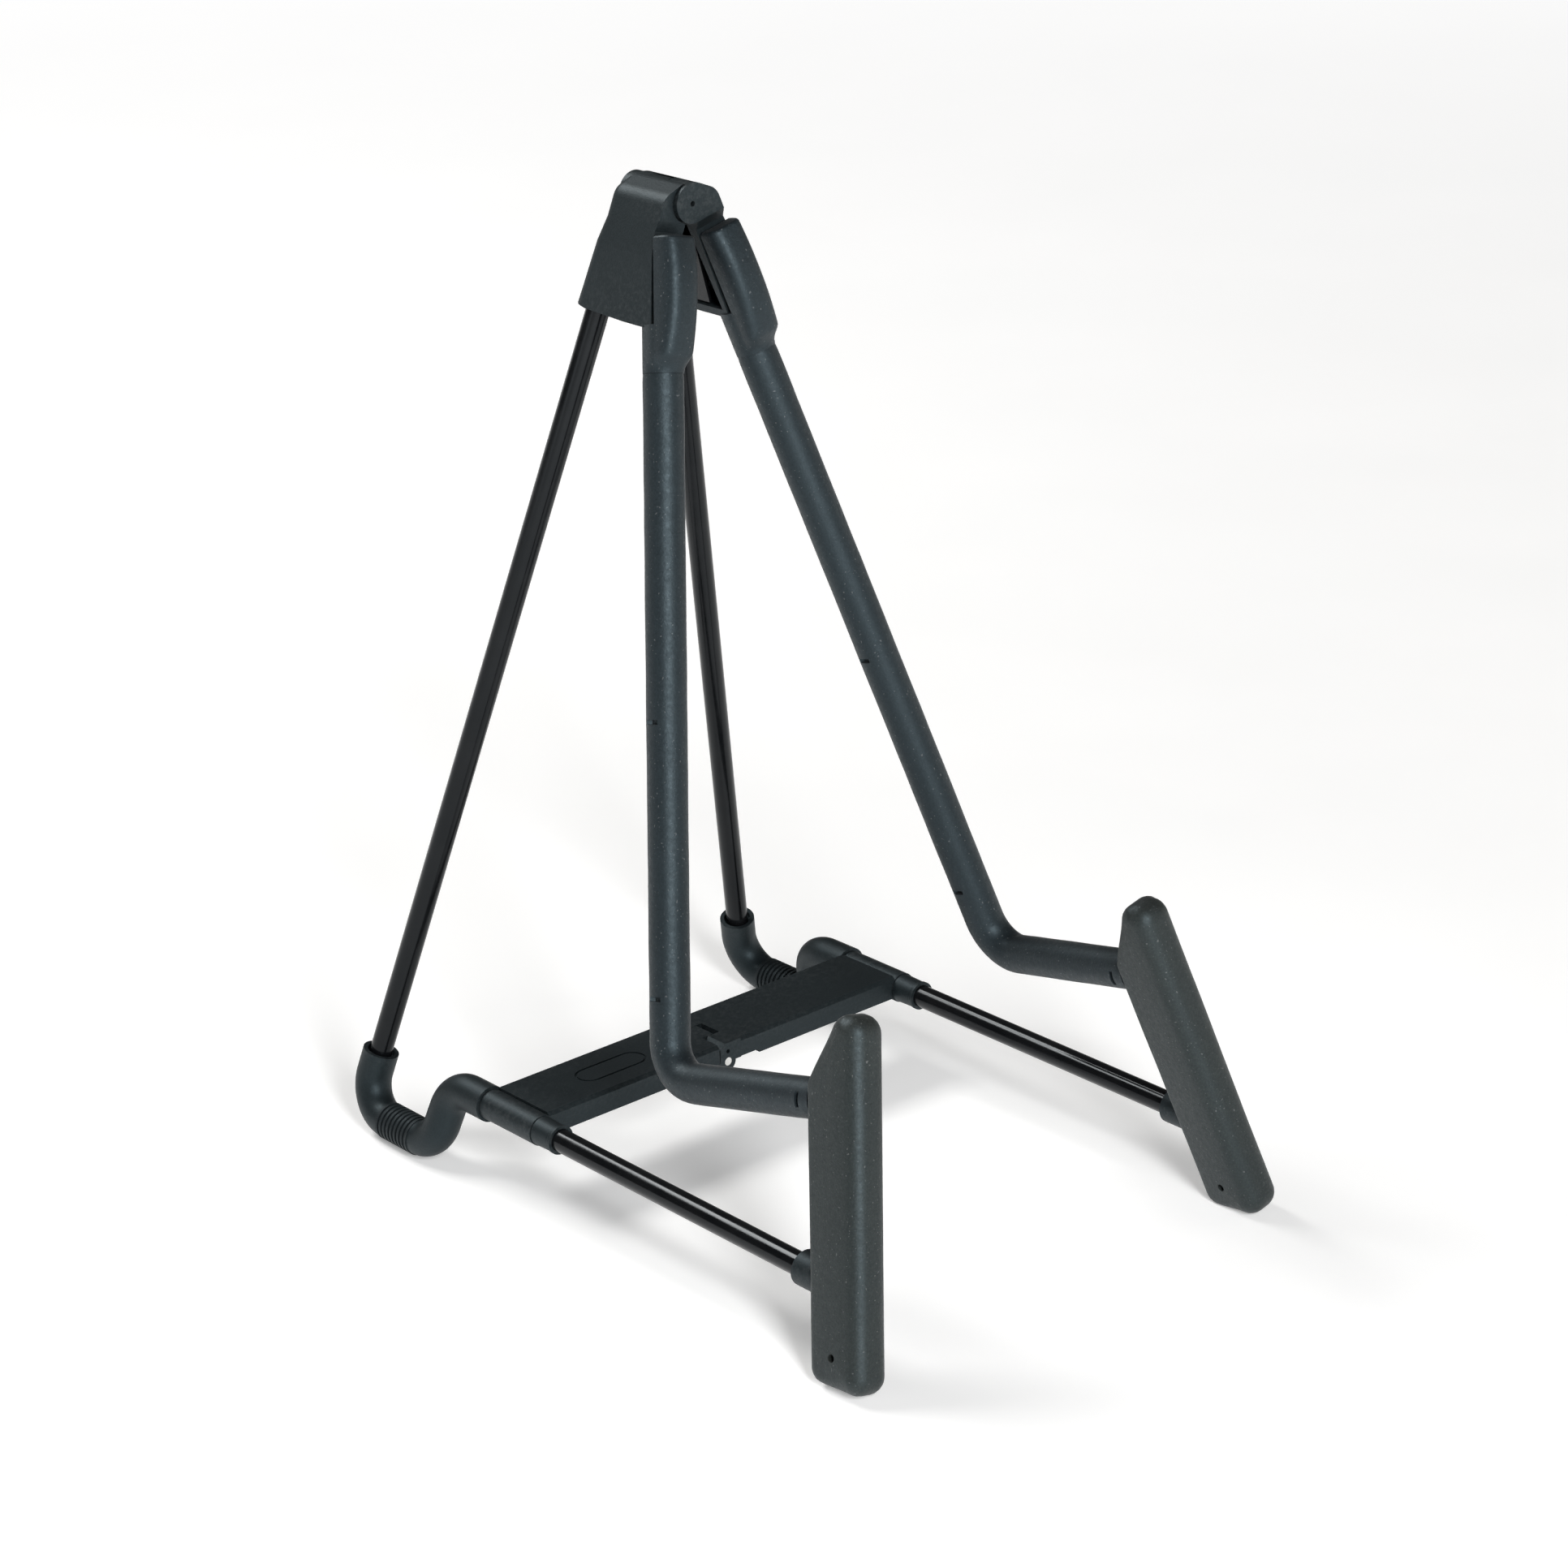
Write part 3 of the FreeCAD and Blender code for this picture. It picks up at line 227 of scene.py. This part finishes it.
def bright_steel(name):
    """Turned zinc-plated steel: fine tool marks and slight dulling."""
    material, tree, shader, where = new_material(name)
    cloud = noise_node(tree, where, 300.0, 4.0)
    marks = noise_node(tree, where, 2600.0, 2.0)
    base = ramp(tree, cloud, [(0.3, (0.60, 0.60, 0.58)), (0.7, (0.78, 0.78, 0.77))])
    tree.links.new(base, shader.inputs["Base Color"])
    tree.links.new(spread(tree, cloud, 0.20, 0.36), shader.inputs["Roughness"])
    tree.links.new(bump(tree, marks, 0.00002, 0.5), shader.inputs["Normal"])
    shader.inputs["Metallic"].default_value = 1.0
    return material


MATERIALS = {
    "soft_foam": foam("soft_foam_skin", (0.0060, 0.0088, 0.0108), (0.0078, 0.0112, 0.0134)),
    "hard_plastic": moulded("hard_plastic_skin", (0.0060, 0.0086, 0.0096),
                            (0.0070, 0.0096, 0.0106), 0.49, 0.54),
    "grip_rubber": moulded("grip_rubber_skin", (0.0065, 0.0082, 0.0090),
                           (0.0085, 0.0102, 0.0108), 0.55, 0.72),
    "painted_tube": gloss_paint("painted_tube_skin"),
    "bright_steel": bright_steel("bright_steel_skin"),
}
BUMPER_SKIN = foam("bumper_skin", (0.0135, 0.0150, 0.0134), (0.0165, 0.0180, 0.0158))

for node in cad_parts.values():
    for holder in node.material_slots:
        label = holder.material.name.split(".")[0] if holder.material else ""
        chosen = next((skin for slot, skin in MATERIALS.items() if slot in label), None)
        if chosen is not None:
            holder.material = chosen
    for face in node.data.polygons:
        face.use_smooth = True


# ---------------------------------------------------------------- mesh helpers

def drill(piece, holes, place):
    """Cut blind round holes, each (centre, radius, depth, direction) in front-frame millimetres."""
    for centre, radius, depth, way in holes:
        tool_mesh = bmesh.new()
        bmesh.ops.create_cone(tool_mesh, cap_ends=True, segments=DRILL_SEGMENTS,
                              radius1=radius, radius2=radius, depth=depth * 2)
        aim = way.to_track_quat("Z", "Y").to_matrix().to_4x4()
        tool_mesh.transform(Matrix.Translation(centre) @ aim)
        tool_mesh.transform(place)
        for vertex in tool_mesh.verts:
            vertex.co *= MM
        data = bpy.data.meshes.new("drill")
        tool_mesh.to_mesh(data)
        tool_mesh.free()
        tool = bpy.data.objects.new("drill", data)
        bpy.context.scene.collection.objects.link(tool)
        modifier = piece.modifiers.new("hole", "BOOLEAN")
        modifier.operation, modifier.solver, modifier.object = "DIFFERENCE", "EXACT", tool
        graph = bpy.context.evaluated_depsgraph_get()
        cut_mesh = bpy.data.meshes.new_from_object(piece.evaluated_get(graph))
        piece.modifiers.clear()
        piece.data = cut_mesh
        bpy.data.objects.remove(tool)


def finish_piece(name, mesh_source, side_name, material, node_name, holes=()):
    """Turn a bmesh in front-frame millimetres into a piece in the row frame."""
    side = SIDES[side_name]
    place = front_frame(side)
    mesh_source.transform(place)
    for vertex in mesh_source.verts:
        vertex.co.z = max(vertex.co.z, 0.0)
        vertex.co *= MM
    bmesh.ops.recalc_face_normals(mesh_source, faces=mesh_source.faces)
    mesh = bpy.data.meshes.new(name)
    mesh_source.to_mesh(mesh)
    mesh_source.free()
    piece = bpy.data.objects.new(name, mesh)
    bpy.context.scene.collection.objects.link(piece)
    mesh.materials.append(material)
    for face in mesh.polygons:
        face.use_smooth = True
    drill(piece, holes, place)
    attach(piece, side_name + "_frame")
    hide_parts(node_name)
    return piece


def bridge(build, first, second, closed=True):
    """Quads between two rings of vertices."""
    count = len(first)
    for i in range(count if closed else count - 1):
        j = (i + 1) % count
        build.faces.new((first[i], first[j], second[j], second[i]))


def ring_of(build, points):
    return [build.verts.new(point) for point in points]


# ---------------------------------------------------------------- front sleeves

def sleeve_path(side_slots):
    """Stations along the sleeve: (point, tangent, slot flag), from the head end to the arm end."""
    stations = []

    def add(point, tangent, cutting=False):
        stations.append((Vector(point), Vector(tangent), cutting))

    def marks(start, end, slots_here, step):
        """Distances from start to end with a pair of close stations round every slot."""
        edges = []
        for low in slots_here:
            edges += [(low - SLOT_MARGIN, False), (low, True), (low + SLOT_HEIGHT, True),
                      (low + SLOT_HEIGHT + SLOT_MARGIN, False)]
        count = int(abs(end - start) / step)
        sign = 1 if end > start else -1
        plain = [start + sign * abs(end - start) * i / count for i in range(count + 1)]
        plain = [p for p in plain
                 if all(not low - SLOT_CLEAR < p < low + SLOT_HEIGHT + SLOT_CLEAR
                        for low in slots_here)]
        found = [(p, False) for p in plain] + edges
        return sorted(found, key=lambda item: sign * item[0])

    for height, cutting in marks(SLEEVE_LENGTH, FRONT_BEND, side_slots[0], SLEEVE_STEP):
        add((0, 0, height), (0, 0, -1), cutting)
    for i in range(1, BEND_STEPS):
        angle = math.pi / 2 * i / BEND_STEPS
        add((0, -FRONT_BEND + FRONT_BEND * math.cos(angle),
             FRONT_BEND - FRONT_BEND * math.sin(angle)),
            (0, -math.sin(angle), -math.cos(angle)))
    for reach, cutting in marks(FRONT_BEND, SLEEVE_ARM, side_slots[1], SLEEVE_STEP):
        add((0, -reach, 0), (0, -1, 0), cutting)
    return stations


def sleeve(side_name):
    """Foam sleeve over the bent tube: slightly uneven skin, rolled ends and real core-pin slots."""
    build = bmesh.new()
    stations = sleeve_path(((SLOT_LOW, SLOT_HIGH), (SLOT_ARM,)))
    total = len(stations)
    rings = []
    seed = Vector((SIDES[side_name] * 31.0, 7.0, 3.0))
    for index, (point, tangent, cutting) in enumerate(stations):
        up = Vector((1, 0, 0)).cross(tangent)
        end_gap = min(index, total - 1 - index)
        ring = []
        for k in range(SLEEVE_AROUND):
            angle = 2 * math.pi * k / SLEEVE_AROUND
            radius = SLEEVE_RADIUS
            way = Vector((math.cos(angle), 0, 0)) + up * math.sin(angle)
            unevenness = noise.noise((point + way * SLEEVE_RADIUS) * SLEEVE_NOISE + seed)
            radius += SLEEVE_UNEVEN * unevenness - SLEEVE_OFFSET
            if end_gap == 0:
                radius -= SLEEVE_END_ROLL
            across = SLEEVE_RADIUS * math.sin(angle)
            if cutting and abs(across) < SLOT_HALF:
                radius -= SLOT_DEPTH
            ring.append(point + way * radius)
        rings.append(ring_of(build, ring))
    for first, second in zip(rings, rings[1:]):
        bridge(build, first, second)
    inner = []
    for index in (0, total - 1):
        point, tangent, _ = stations[index]
        up = Vector((1, 0, 0)).cross(tangent)
        inward = tangent if index == 0 else -tangent
        for depth in (0.0, SLEEVE_LINING):
            inner.append(ring_of(build, [
                point + inward * depth
                + (Vector((math.cos(2 * math.pi * k / SLEEVE_AROUND), 0, 0))
                   + up * math.sin(2 * math.pi * k / SLEEVE_AROUND)) * SOCKET
                for k in range(SLEEVE_AROUND)]))
    bridge(build, rings[0], inner[0])
    bridge(build, inner[0], inner[1])
    bridge(build, rings[-1], inner[2])
    bridge(build, inner[2], inner[3])
    build.faces.new(inner[1])
    build.faces.new(inner[3])
    name = side_name + "_soft_sleeve"
    piece = finish_piece(name, build, side_name, MATERIALS["soft_foam"],
                         side_name + "_front_sleeve")
    sharpen(piece, CREASE_DEGREES)


def sharpen(piece, degrees):
    """Keep creases above an angle sharp and smooth the rest."""
    mesh = piece.data
    work = bmesh.new()
    work.from_mesh(mesh)
    limit = math.radians(degrees)
    for edge in work.edges:
        if len(edge.link_faces) == 2 and edge.calc_face_angle(0.0) > limit:
            edge.smooth = False
    work.to_mesh(mesh)
    work.free()


# ---------------------------------------------------------------- bumpers

def rounded_outline(corners):
    """Closed outline with each corner rounded: list of (point, inward normal, softness)."""
    points = []
    count = len(corners)
    for i in range(count):
        here, radius, softness = corners[i]
        before, after = corners[i - 1][0], corners[(i + 1) % count][0]
        back, ahead = (before - here).normalized(), (after - here).normalized()
        half = math.acos(max(-1.0, min(1.0, back.dot(ahead)))) / 2
        reach = radius / math.tan(half)
        start, end = here + back * reach, here + ahead * reach
        centre = here + (back + ahead).normalized() * (radius / math.sin(half))
        first = math.atan2(*(start - centre).yx)
        sweep = math.atan2(*(end - centre).yx) - first
        sweep = (sweep + math.pi) % (2 * math.pi) - math.pi
        pieces = max(CORNER_POINTS, int(abs(sweep) * radius / CORNER_STEP))
        for k in range(pieces + 1):
            angle = first + sweep * k / pieces
            normal = -Vector((math.cos(angle), math.sin(angle)))
            points.append((centre - normal * radius, normal, softness))
    dense = []
    for i, (point, normal, softness) in enumerate(points):
        following, next_normal, next_soft = points[(i + 1) % len(points)]
        gap = (following - point).length
        pieces = max(1, int(gap / OUTLINE_STEP))
        for k in range(pieces):
            t = k / pieces
            smooth = t * t * (3 - 2 * t)
            dense.append((point.lerp(following, t), normal.lerp(next_normal, t).normalized(),
                          softness + (next_soft - softness) * smooth))
    return dense


def bumper(side_name):
    """Upright foam bumper: full round along the front, tight rear edges, domed top, pin hole."""
    build = bmesh.new()
    corners = [(Vector((-BUMPER_BACK, -BUMPER_LOW_BACK)), LOW_CORNER, LOW_SOFT),
               (Vector((-BUMPER_BACK, BUMPER_SHOULDER)), SHOULDER_CORNER, REAR_SOFT),
               (Vector((-BUMPER_TIP, BUMPER_TOP)), BUMPER_CORNER, TIP_SOFT),
               (Vector((-BUMPER_FRONT, BUMPER_TOP)), BUMPER_CORNER - 0.2, FRONT_SOFT),
               (Vector((-BUMPER_FRONT, -BUMPER_LOW_FRONT)), BUMPER_CORNER - 0.6, FRONT_SOFT)]
    outline = rounded_outline(corners)
    spine_y = -(BUMPER_BACK + BUMPER_FRONT) / 2
    spine_low, spine_high = -BUMPER_LOW_BACK + SPINE_LOW_MARGIN, BUMPER_TOP - SPINE_TOP_MARGIN
    layers = []
    for i in range(BUMPER_LAYERS + 1):
        angle = math.pi / 2 * i / BUMPER_LAYERS
        layers.append((math.cos(angle), math.sin(angle)))

    def rim(flip, level):
        """One loop of the rounded edge, on either face: level 0 is the middle of the thickness."""
        rise, inset = layers[BUMPER_LAYERS - level][0], 1 - layers[BUMPER_LAYERS - level][1]
        ring = []
        for point, normal, softness in outline:
            x = BUMPER_HALF - softness * (1 - rise)
            spot = point + normal * softness * inset
            ring.append(Vector((flip * x, spot.x, spot.y)))
        return ring

    # level 0: outline at full size, x = half - softness; last level: inset, x = half
    rims = {flip: [ring_of(build, rim(flip, level)) for level in range(BUMPER_LAYERS + 1)]
            for flip in (-1, 1)}
    bridge(build, rims[-1][0], rims[1][0])
    for flip in (-1, 1):
        for first, second in zip(rims[flip], rims[flip][1:]):
            bridge(build, first, second)
        last = rims[flip][-1]
        previous = last
        for share in FACE_LOOPS:
            ring = []
            for vertex in last:
                height = max(spine_low, min(spine_high, vertex.co.z))
                target = Vector((vertex.co.x, spine_y, height))
                spot = target.lerp(vertex.co, share)
                spot.x += flip * BUMPER_CROWN * (1 - share ** 2)
                ring.append(spot)
            ring = ring_of(build, ring)
            bridge(build, previous, ring)
            previous = ring
        build.faces.new(previous)
    bmesh.ops.remove_doubles(build, verts=build.verts, dist=MERGE_DISTANCE)
    for vertex in build.verts:
        swell = noise.noise(vertex.co * BUMPER_NOISE + Vector((SIDES[side_name] * 17.0, 2.0, 5.0)))
        vertex.co.x += BUMPER_SWELL * swell * (1 if vertex.co.x > 0 else -1)
    holes = [(Vector((flip * BUMPER_HALF, -HOLE_FORWARD, -HOLE_DROP)), HOLE_RADIUS, HOLE_DEPTH,
              Vector((flip, 0, 0))) for flip in (-1, 1)]
    name = side_name + "_soft_bumper"
    piece = finish_piece(name, build, side_name, BUMPER_SKIN,
                         side_name + "_bumper", holes)
    sharpen(piece, CREASE_DEGREES)


# ---------------------------------------------------------------- back pads

def smooth_step(value):
    value = max(0.0, min(1.0, value))
    return value * value * (3 - 2 * value)


def pad_depth(height):
    """Front line of the pad: the parabola through its three driving depths."""
    span = PAD_TOP - PAD_LOW
    t, middle = (height - PAD_LOW) / span, (PAD_MID - PAD_LOW) / span
    return (PAD_FRONT_LOW * (t - middle) * (t - 1) / middle
            + PAD_FRONT_MID * t * (t - 1) / (middle * (middle - 1))
            + PAD_FRONT_TOP * t * (t - middle) / (1 - middle))


def pad_section(side, height, inset, ringed):
    """Outline at one height: crowned front, and a round back where the pad rings the tube."""
    right, left = (PAD_OUTER, PAD_INNER) if side > 0 else (PAD_INNER, PAD_OUTER)
    fullness = smooth_step((height - PAD_LOW + PAD_TAPER_START) / PAD_TAPER)
    power = 2 / PAD_SQUARENESS
    front = []
    for k in range(PAD_FRONT_POINTS + 1):
        angle = math.pi * k / PAD_FRONT_POINTS
        across, ahead = math.cos(angle), math.sin(angle)
        width = right if across > 0 else left
        x = math.copysign(abs(across) ** power, across) * width
        y = -PAD_BACK - (pad_depth(height) - PAD_BACK) * abs(ahead) ** power
        full = Vector((x, y))
        front.append((full.normalized() * SLEEVE_RADIUS).lerp(full, fullness))
    start, end = front[-1], front[0]
    back = []
    for k in range(1, PAD_BACK_POINTS):
        share = k / PAD_BACK_POINTS
        straight = start.lerp(end, share)
        if ringed:
            low = math.atan2(-PAD_BACK, math.sqrt(SLEEVE_RADIUS ** 2 - PAD_BACK ** 2))
            angle = (math.pi - low) + (2 * low - math.pi) * share
            spot = Vector((math.cos(angle), math.sin(angle))) * SLEEVE_RADIUS
            corner = start if share < 0.5 else end
            tail = corner.normalized() * SLEEVE_RADIUS
            near = 1 - smooth_step(min(share, 1 - share) * PAD_BLEND)
            spot += (corner - tail) * near
            back.append(spot)
        else:
            back.append(straight)
    centre = Vector((0, -PAD_BACK - PAD_CENTRE))
    points = []
    for spot in front + back:
        spot = spot + (centre - spot).normalized() * inset
        points.append(Vector((spot.x, spot.y, height)))
    return points


def back_pad(side_name):
    """Crowned cushion over the front of the tube's top, with a ring at its low end."""
    side = SIDES[side_name]
    build = bmesh.new()
    levels = []
    ledge = PAD_RING_TOP + PAD_RING_LIFT
    ring_steps = int((ledge - PAD_LOW) / PAD_STEP)
    for i in range(ring_steps + 1):
        levels.append((PAD_LOW - PAD_OVERHANG + (ledge - PAD_LOW + PAD_OVERHANG) * i / ring_steps,
                       0.0, True))
    upper_steps = int((PAD_TOP - PAD_RIM - ledge) / PAD_STEP)
    for i in range(upper_steps + 1):
        levels.append((ledge + PAD_LEDGE + (PAD_TOP - PAD_RIM - ledge) * i / upper_steps,
                       0.0, False))
    for i in range(1, PAD_RIM_STEPS + 1):
        angle = math.pi / 2 * i / PAD_RIM_STEPS
        levels.append((PAD_TOP - PAD_RIM + PAD_RIM * math.sin(angle),
                       PAD_RIM * (1 - math.cos(angle)), False))
    levels.append((PAD_TOP + PAD_CROWN, PAD_CROWN_INSET, False))
    rings = [ring_of(build, pad_section(side, *level)) for level in levels]
    for first, second in zip(rings, rings[1:]):
        bridge(build, first, second)
    build.faces.new(rings[0])
    build.faces.new(rings[-1])
    for vertex in build.verts:
        if vertex.co.y < -PAD_BACK - PAD_SWELL_FROM:
            swell = noise.noise(vertex.co * PAD_NOISE + Vector((side * 13.0, 1.0, 9.0)))
            vertex.co.y -= PAD_SWELL * swell
    name = side_name + "_soft_pad"
    piece = finish_piece(name, build, side_name, MATERIALS["soft_foam"],
                         side_name + "_back_pad")
    sharpen(piece, CREASE_DEGREES)


for label in SIDES:
    sleeve(label)
    bumper(label)
    back_pad(label)


# ---------------------------------------------------------------- floor, light and camera

FLOOR_HALF, FLOOR_LEVEL, WORLD_STRENGTH = 30.0, -0.0004, 0.08


def stage_plane(name, half, z, material):
    build = bmesh.new()
    bmesh.ops.create_grid(build, x_segments=8, y_segments=8, size=half)
    mesh = bpy.data.meshes.new(name)
    build.to_mesh(mesh)
    build.free()
    plane = bpy.data.objects.new(name, mesh)
    plane.location.z = z
    bpy.context.scene.collection.objects.link(plane)
    mesh.materials.append(material)


floor_material, floor_tree, floor_shader, floor_where = new_material("floor_paper")
floor_tree.links.new(ramp(floor_tree, noise_node(floor_tree, floor_where, 6.0),
                          [(0.3, 0.90), (0.7, 0.93)]), floor_shader.inputs["Base Color"])
# Painted light: the floor glows by its own emission, 0.24 near the stand and rising to 1.0 by 3 m
# out, so the far floor reads as a bright backdrop.
floor_shader.inputs["Emission Color"].default_value = (1.0, 1.0, 1.0, 1.0)
reach = floor_tree.nodes.new("ShaderNodeVectorMath")
reach.operation = "LENGTH"
floor_tree.links.new(floor_where, reach.inputs[0])
floor_tree.links.new(spread(floor_tree, reach.outputs["Value"], 0.24, 1.0, 0.35, 3.0),
                     floor_shader.inputs["Emission Strength"])
floor_shader.inputs["Roughness"].default_value = 0.85
floor_shader.inputs["Specular IOR Level"].default_value = 0.1
stage_plane("floor", FLOOR_HALF, FLOOR_LEVEL, floor_material)


def area_light(name, location, target, size_x, size_y, power, colour=(1, 1, 1)):
    data = bpy.data.lights.new(name, "AREA")
    data.shape = "RECTANGLE"
    data.size, data.size_y = size_x, size_y
    data.energy = power
    data.color = colour
    lamp = bpy.data.objects.new(name, data)
    lamp.location = location
    way = Vector(target) - Vector(location)
    lamp.rotation_euler = way.to_track_quat("-Z", "Y").to_euler()
    bpy.context.scene.collection.objects.link(lamp)


CENTRE = (0.0, 0.0, 0.17)
area_light("key", (-0.60, -1.45, 0.85), CENTRE, 0.34, 0.9, 30.0)
area_light("top_back", (-0.35, 1.15, 1.45), CENTRE, 0.9, 0.5, 20.0, (1.0, 0.99, 0.97))
area_light("side", (-1.5, 0.1, 0.55), CENTRE, 0.5, 0.9, 0.8, (0.92, 0.97, 1.0))
area_light("low_right", (1.3, -0.7, 0.4), CENTRE, 0.3, 0.8, 1.6, (1.0, 0.93, 0.84))

world = bpy.data.worlds.new("studio")
bpy.context.scene.world = world
world.use_nodes = True
world.node_tree.nodes["Background"].inputs["Color"].default_value = (1.0, 1.0, 1.0, 1.0)
world.node_tree.nodes["Background"].inputs["Strength"].default_value = WORLD_STRENGTH

bpy.context.scene.view_settings.view_transform = "Standard"

CAMERA_AZIMUTH, CAMERA_ELEVATION, CAMERA_ROLL = -39.77, 21.55, -2.28
CAMERA_LENS, SENSOR = 95.43, 36.0
CAMERA_PLACE = Vector((-0.8163, -0.9811, 0.6451))


def camera():
    data = bpy.data.cameras.new("camera")
    data.lens, data.sensor_width, data.sensor_height = CAMERA_LENS, SENSOR, SENSOR
    data.clip_start, data.clip_end = 0.05, 100.0
    item = bpy.data.objects.new("camera", data)
    azimuth, elevation, roll = (math.radians(v) for v in
                                (CAMERA_AZIMUTH, CAMERA_ELEVATION, CAMERA_ROLL))
    back = Vector((math.sin(azimuth) * math.cos(elevation),
                   -math.cos(azimuth) * math.cos(elevation), math.sin(elevation)))
    level = (-back).cross(Vector((0, 0, 1))).normalized()
    above = back.cross(level)
    right = level * math.cos(roll) + above * math.sin(roll)
    up = above * math.cos(roll) - level * math.sin(roll)
    item.matrix_world = (Matrix.Translation(CAMERA_PLACE)
                         @ Matrix((right, up, back)).transposed().to_4x4())
    bpy.context.scene.collection.objects.link(item)
    bpy.context.scene.camera = item


camera()

bpy.context.view_layer.update()
